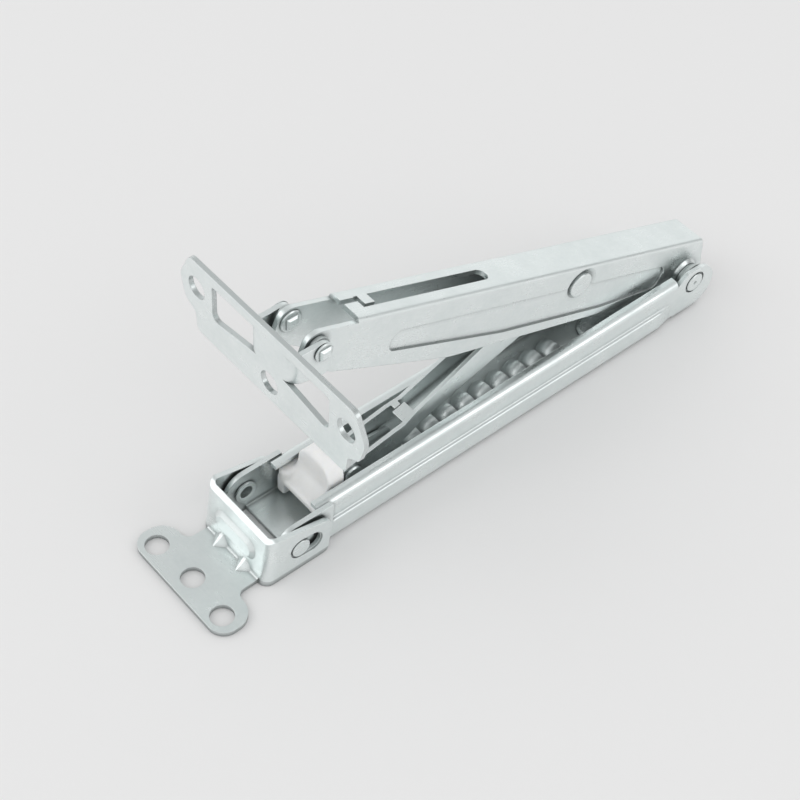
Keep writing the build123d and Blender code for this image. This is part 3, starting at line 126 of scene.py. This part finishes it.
# Nylon block
NYLON_COLOUR = (0.97, 0.975, 0.965, 1.0)
NYLON_DEEP = (0.91, 0.92, 0.91, 1.0)
NYLON_EDGE = (0.93, 0.93, 0.92, 1.0)
NYLON_CLOUD_SCALE = 0.25
NYLON_CLOUD_SPAN = (0.40, 0.70)
NYLON_SKIN_SCALE = 6.0
NYLON_FLOW_SCALE = 1.6
NYLON_FLOW_STRETCH = (1.0, 1.0, 0.2)
NYLON_EDGE_BLEND = 0.5
NYLON_TEXTURE_SPAN = (0.7, 1.3)
NYLON_ROUGHNESS = (0.34, 0.50)
NYLON_SKIN_HEIGHT = 0.6
NYLON_FLOW_HEIGHT = 0.8
NYLON_RELIEF = 0.00005
NYLON_SCATTER = 0.35
NYLON_SCATTER_RADIUS = (1.0, 0.95, 0.85)
NYLON_SCATTER_SCALE = 0.0012
MELT_VOXEL = 0.00028
SETTLE_FACTOR = 0.5
SETTLE_ROUNDS = 8


class Nodes:
    """A node tree with short calls to add and join its nodes."""

    def __init__(self, tree):
        self.tree = tree
        self.tree.nodes.clear()

    def add(self, kind, values=None, **settings):
        node = self.tree.nodes.new(kind)
        for name, value in settings.items():
            setattr(node, name, value)
        for name, value in (values or {}).items():
            self.put(node.inputs[name], value)
        return node

    def put(self, socket, value):
        if isinstance(value, bpy.types.NodeSocket):
            self.tree.links.new(value, socket)
        else:
            socket.default_value = value

    def position(self, scale=(1.0, 1.0, 1.0), turn=(0.0, 0.0, 0.0)):
        """Object coordinates in millimetres, turned and then stretched."""
        place = self.add("ShaderNodeTexCoord").outputs["Object"]
        turned = self.add("ShaderNodeMapping", {"Vector": place, "Rotation": turn}).outputs["Vector"]
        millimetres = tuple(1000.0 * s for s in scale)
        return self.add("ShaderNodeMapping", {"Vector": turned, "Scale": millimetres}).outputs["Vector"]

    def part_of(self, vector, axis):
        return self.add("ShaderNodeSeparateXYZ", {"Vector": vector}).outputs[axis]

    def noise(self, vector, scale, detail=3.0, roughness=0.5):
        values = {"Vector": vector, "Scale": scale, "Detail": detail, "Roughness": roughness}
        return self.add("ShaderNodeTexNoise", values).outputs["Fac"]

    def spread(self, value, low, high, to_low=0.0, to_high=1.0):
        """Map one span of values on to another, held at its ends."""
        values = {"Value": value, "From Min": low, "From Max": high, "To Min": to_low, "To Max": to_high}
        return self.add("ShaderNodeMapRange", values).outputs["Result"]

    def maths(self, operation, first, second=0.0):
        node = self.add("ShaderNodeMath", operation=operation)
        self.put(node.inputs[0], first)
        self.put(node.inputs[1], second)
        return node.outputs[0]

    def plus(self, first, second):
        return self.maths("ADD", first, second)

    def times(self, first, second):
        return self.maths("MULTIPLY", first, second)

    def dot(self, first, second):
        node = self.add("ShaderNodeVectorMath", operation="DOT_PRODUCT")
        self.put(node.inputs[0], first)
        self.put(node.inputs[1], second)
        return node.outputs["Value"]

    def mix(self, factor, first, second):
        node = self.add("ShaderNodeMix", data_type="RGBA")
        self.put(node.inputs["Factor"], factor)
        self.put(node.inputs[6], first)
        self.put(node.inputs[7], second)
        return node.outputs[2]

    def mix_shaders(self, factor, first, second):
        node = self.add("ShaderNodeMixShader", {0: factor})
        self.put(node.inputs[1], first)
        self.put(node.inputs[2], second)
        return node.outputs[0]

    def background(self, colour, strength):
        return self.add("ShaderNodeBackground", {"Color": colour, "Strength": strength}).outputs[0]

    def relief(self, height, depth, normal):
        values = {"Height": height, "Distance": depth, "Strength": RELIEF_STRENGTH, "Normal": normal}
        return self.add("ShaderNodeBump", values).outputs["Normal"]

    def finish_surface(self, values):
        shader = self.add("ShaderNodeBsdfPrincipled", values).outputs["BSDF"]
        self.add("ShaderNodeOutputMaterial", {"Surface": shader})


def new_material(name):
    material = bpy.data.materials.new(name)
    material.use_nodes = True
    return material, Nodes(material.node_tree)


def edge_mask(nodes):
    """1 at edges and 0 on flat faces, with the rounded normal that goes with it."""
    rounded = nodes.add("ShaderNodeBevel", {"Radius": EDGE_RADIUS}, samples=EDGE_SAMPLES).outputs["Normal"]
    plain = nodes.add("ShaderNodeNewGeometry").outputs["Normal"]
    return nodes.spread(nodes.dot(rounded, plain), *EDGE_SPAN), rounded


def hollow_mask(nodes, distance, span):
    """1 where the surface is shut in within the distance and 0 in the open."""
    node = nodes.add("ShaderNodeAmbientOcclusion", {"Distance": distance}, samples=HOLLOW_SAMPLES)
    return nodes.spread(node.outputs["AO"], *span)


def cut_mask(nodes, axis, low, high):
    """1 on the sheared edges of a flat plate that lies between two planes."""
    place = nodes.part_of(nodes.position(), axis)
    world_normal = nodes.add("ShaderNodeNewGeometry").outputs["Normal"]
    own_normal = nodes.add("ShaderNodeVectorTransform", {"Vector": world_normal}, vector_type="NORMAL",
                           convert_from="WORLD", convert_to="OBJECT").outputs["Vector"]
    facing = nodes.maths("ABSOLUTE", nodes.part_of(own_normal, axis))
    above = nodes.maths("GREATER_THAN", place, low)
    below = nodes.maths("LESS_THAN", place, high)
    return nodes.times(nodes.spread(facing, *CUT_FACING_SPAN), nodes.times(above, below))


def zinc_colour(nodes, base, grain, patches, streak, edge):
    """The plate's colour in the open: dull patches, bright drawn streaks and a painted highlight along the
    edges.
    """
    colour = nodes.mix(nodes.times(patches, PATCH_DULLING), base, ZINC_DULL)
    streaks = nodes.times(nodes.spread(streak, *STREAK_SPAN), STREAK_BRIGHTENING * grain)
    colour = nodes.mix(streaks, colour, ZINC_BRIGHT_STREAK_AND_HIGHLIGHT)
    # Painted highlight: edges lightened toward the bright colour
    return nodes.mix(nodes.times(edge, EDGE_PAINTED_HIGHLIGHT), colour, ZINC_BRIGHT_STREAK_AND_HIGHLIGHT)


def zinc_roughness(nodes, roughness, patches, streak, hollow):
    smoothest, roughest = (roughness + change for change in PATCH_ROUGHNESS)
    rough = nodes.spread(patches, 0.0, 1.0, smoothest, roughest)
    rough = nodes.plus(rough, nodes.spread(streak, *STREAK_ROUGHNESS_SPAN, *STREAK_ROUGHNESS))
    return nodes.plus(rough, nodes.times(hollow, HOLLOW_ROUGHNESS))


def zinc(name, grain_turn=(0.0, 0.0, 0.0), base=ZINC_COLOUR, roughness=ZINC_ROUGHNESS, grain=1.0,
         hollow_painted_shade=HOLLOW_PAINTED_SHADE, planes=None):
    """Bright zinc plate over rolled sheet, dull on the cut edges between the planes, with painted shade
    darkening its hollows and creases.
    """
    material, nodes = new_material(name)
    place = nodes.position()
    along = nodes.position(scale=STREAK_STRETCH, turn=grain_turn)
    cloud = nodes.noise(place, CLOUD_SCALE, detail=4.0, roughness=0.6)
    mottle = nodes.noise(place, MOTTLE_SCALE)
    streak = nodes.noise(along, STREAK_SCALE, detail=4.0, roughness=0.65)
    speck = nodes.noise(place, SPECK_SCALE, detail=2.0)
    patches = nodes.spread(nodes.plus(cloud, nodes.times(mottle, PATCH_MOTTLE)), *PATCH_SPAN)
    edge, rounded = edge_mask(nodes)
    hollow = hollow_mask(nodes, HOLLOW_DISTANCE, HOLLOW_SPAN)
    painted_crease_shade = hollow_mask(nodes, CREASE_DISTANCE, CREASE_SPAN)
    colour = zinc_colour(nodes, base, grain, patches, streak, edge)
    if planes is not None:
        colour = nodes.mix(nodes.times(cut_mask(nodes, *planes), CUT_DULLING), colour, ZINC_CUT)
    # Painted shade: occluded hollows and creases darkened toward the painted shade colour
    colour = nodes.mix(nodes.times(hollow, hollow_painted_shade), colour, ZINC_PAINTED_SHADE)
    colour = nodes.mix(nodes.times(painted_crease_shade, CREASE_PAINTED_SHADE), colour, ZINC_PAINTED_SHADE)
    height = nodes.plus(nodes.times(streak, STREAK_HEIGHT * grain), nodes.times(speck, SPECK_HEIGHT))
    height = nodes.plus(height, nodes.times(mottle, MOTTLE_HEIGHT))
    nodes.finish_surface({
        "Base Color": colour, "Metallic": 1.0,
        "Roughness": zinc_roughness(nodes, roughness, patches, streak, hollow),
        "Normal": nodes.relief(height, ZINC_RELIEF, rounded)})
    return material


def nylon(name):
    """Milky moulded nylon: slightly translucent, with a satin skin and faint flow marks."""
    material, nodes = new_material(name)
    place = nodes.position()
    cloud = nodes.noise(place, NYLON_CLOUD_SCALE, detail=4.0)
    skin = nodes.noise(place, NYLON_SKIN_SCALE, roughness=0.6)
    flow = nodes.noise(nodes.position(scale=NYLON_FLOW_STRETCH), NYLON_FLOW_SCALE)
    edge, rounded = edge_mask(nodes)
    colour = nodes.mix(nodes.spread(cloud, *NYLON_CLOUD_SPAN), NYLON_COLOUR, NYLON_DEEP)
    colour = nodes.mix(nodes.times(edge, NYLON_EDGE_BLEND), colour, NYLON_EDGE)
    rough = nodes.spread(nodes.plus(skin, flow), *NYLON_TEXTURE_SPAN, *NYLON_ROUGHNESS)
    height = nodes.plus(nodes.times(skin, NYLON_SKIN_HEIGHT), nodes.times(flow, NYLON_FLOW_HEIGHT))
    nodes.finish_surface({
        "Base Color": colour, "Roughness": rough, "Normal": nodes.relief(height, NYLON_RELIEF, rounded),
        "Subsurface Weight": NYLON_SCATTER, "Subsurface Radius": NYLON_SCATTER_RADIUS,
        "Subsurface Scale": NYLON_SCATTER_SCALE})
    return material


def put_on(material, *names):
    for name in names:
        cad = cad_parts[name]
        cad.data.materials.clear()
        cad.data.materials.append(material)


def dress_sheet():
    along_arm = (0.0, math.radians(ARM_GRAIN_TURN), 0.0)
    along_strut = (0.0, math.radians(STRUT_GRAIN_TURN), 0.0)
    across = (0.0, 0.0, math.radians(PLATE_GRAIN_TURN))
    put_on(zinc("zinc_rail"), "base_rail")
    put_on(zinc("zinc_arm", grain_turn=along_arm), "upper_arm")
    put_on(zinc("zinc_strut", grain_turn=along_strut), "strut_channel")
    put_on(zinc("zinc_head_plate", grain_turn=across, planes=HEAD_PLATE_PLANES), "top_plate")
    put_on(zinc("zinc_foot_plate", grain_turn=across, planes=FOOT_PLATE_PLANES), "foot_bracket")
    put_on(zinc("zinc_pawl", roughness=SMALL_PART_ROUGHNESS), "ratchet_pawl")


def dress_small_pieces():
    rivets = ["stop_rivet", "hinge_rivet", "strut_rivet", "strut_pin"]
    rings = []
    for side in ("near", "far"):
        rivets += ["foot_pin_" + side, "plate_rivet_" + side]
        rings += ["hinge_spacer_" + side, "hinge_washer_" + side]
        rings += ["strut_spacer_" + side, "plate_spacer_" + side]
    put_on(zinc("zinc_rivet", grain=RIVET_GRAIN, roughness=RIVET_ROUGHNESS,
                hollow_painted_shade=RIVET_HOLLOW_PAINTED_SHADE), *rivets)
    put_on(zinc("zinc_ring", base=ZINC_RING, grain=RING_GRAIN, roughness=SMALL_PART_ROUGHNESS), *rings)
    put_on(zinc("spring_steel", base=SPRING_STEEL), "pawl_spring")
    put_on(nylon("nylon_white"), "glide_block")


def soften_block():
    """Melt the nylon block's edges into one another, as a moulding's are."""
    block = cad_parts["glide_block"]
    remesh = block.modifiers.new("melt", "REMESH")
    remesh.mode = "VOXEL"
    remesh.voxel_size = MELT_VOXEL
    remesh.use_smooth_shade = True
    smooth = block.modifiers.new("settle", "SMOOTH")
    smooth.factor = SETTLE_FACTOR
    smooth.iterations = SETTLE_ROUNDS


def make_floor():
    mesh = bpy.data.meshes.new("floor")
    half = FLOOR_SIZE / 2
    corners = [(-half, -half, 0), (half, -half, 0), (half, half, 0), (-half, half, 0)]
    mesh.from_pydata(corners, [], [(0, 1, 2, 3)])
    floor = bpy.data.objects.new("floor", mesh)
    floor.location = (0, 0, -FLOOR_DROP)
    bpy.context.scene.collection.objects.link(floor)
    material, nodes = new_material("floor_paper")
    nodes.finish_surface({
        "Base Color": FLOOR_COLOUR, "Roughness": FLOOR_ROUGHNESS, "Specular IOR Level": FLOOR_SPECULAR})
    mesh.materials.append(material)


def mirrored_room(nodes):
    """Brightness that metal mirrors: a pale horizon, a darker ceiling and one dim corner."""
    direction = nodes.add("ShaderNodeTexCoord").outputs["Generated"]
    height = nodes.part_of(direction, "Z")
    lower = nodes.spread(height, *UPPER_ROOM_SPAN, HORIZON, UPPER_ROOM)
    ceiling_drop = nodes.spread(height, *CEILING_SPAN, 0.0, UPPER_ROOM - CEILING)
    dim = nodes.spread(nodes.dot(direction, DIM_CORNER), *DIM_CORNER_SPAN, 1.0, DIM_CORNER_LEVEL)
    return nodes.times(nodes.maths("SUBTRACT", lower, ceiling_drop), dim)


def make_world():
    """Even fill light, with the room for glossy rays and a plain backdrop for what is seen directly."""
    world = bpy.data.worlds.new("studio")
    bpy.context.scene.world = world
    world.use_nodes = True
    nodes = Nodes(world.node_tree)
    path = nodes.add("ShaderNodeLightPath")
    light = nodes.background(WHITE, FILL)
    mirrored = nodes.background(ROOM_TINT, mirrored_room(nodes))
    shown = nodes.background(SEEN_WORLD, 1.0)
    unseen = nodes.mix_shaders(path.outputs["Is Glossy Ray"], light, mirrored)
    direct = nodes.maths("MAXIMUM", path.outputs["Is Camera Ray"], path.outputs["Is Transmission Ray"])
    nodes.add("ShaderNodeOutputWorld", {"Surface": nodes.mix_shaders(direct, unseen, shown)})


def add_soft_box(name, place, side, power):
    data = bpy.data.lights.new(name, "AREA")
    data.shape = "RECTANGLE"
    data.size = data.size_y = side
    data.energy = power
    lamp = bpy.data.objects.new(name, data)
    lamp.location = place
    lamp.rotation_mode = "QUATERNION"
    lamp.rotation_quaternion = (Vector(BOX_AIM) - Vector(place)).to_track_quat("-Z", "Y")
    bpy.context.scene.collection.objects.link(lamp)


def make_camera():
    azimuth, elevation, roll = map(math.radians, (CAMERA_AZIMUTH, CAMERA_ELEVATION, CAMERA_ROLL))
    level = math.cos(elevation)
    right = Vector((math.cos(azimuth), math.sin(azimuth), 0))
    back = Vector((math.sin(azimuth) * level, -math.cos(azimuth) * level, math.sin(elevation)))
    up = back.cross(right)
    turned_right = right * math.cos(roll) + up * math.sin(roll)
    turned_up = -right * math.sin(roll) + up * math.cos(roll)
    data = bpy.data.cameras.new("camera")
    data.sensor_width = SENSOR_WIDTH
    data.lens = CAMERA_LENS
    data.clip_start = NEAR_CLIP
    data.clip_end = FAR_CLIP
    camera = bpy.data.objects.new("camera", data)
    turn = Matrix((turned_right, turned_up, back)).transposed()
    camera.matrix_world = Matrix.Translation(CAMERA_PLACE) @ turn.to_4x4()
    bpy.context.scene.collection.objects.link(camera)
    bpy.context.scene.camera = camera


bpy.context.scene.view_settings.view_transform = "Standard"
make_camera()
make_floor()
make_world()
add_soft_box("box_left", LEFT_BOX_PLACE, LEFT_BOX_SIDE, LEFT_BOX_POWER)
add_soft_box("box_right", RIGHT_BOX_PLACE, RIGHT_BOX_SIDE, RIGHT_BOX_POWER)
dress_sheet()
dress_small_pieces()
soften_block()
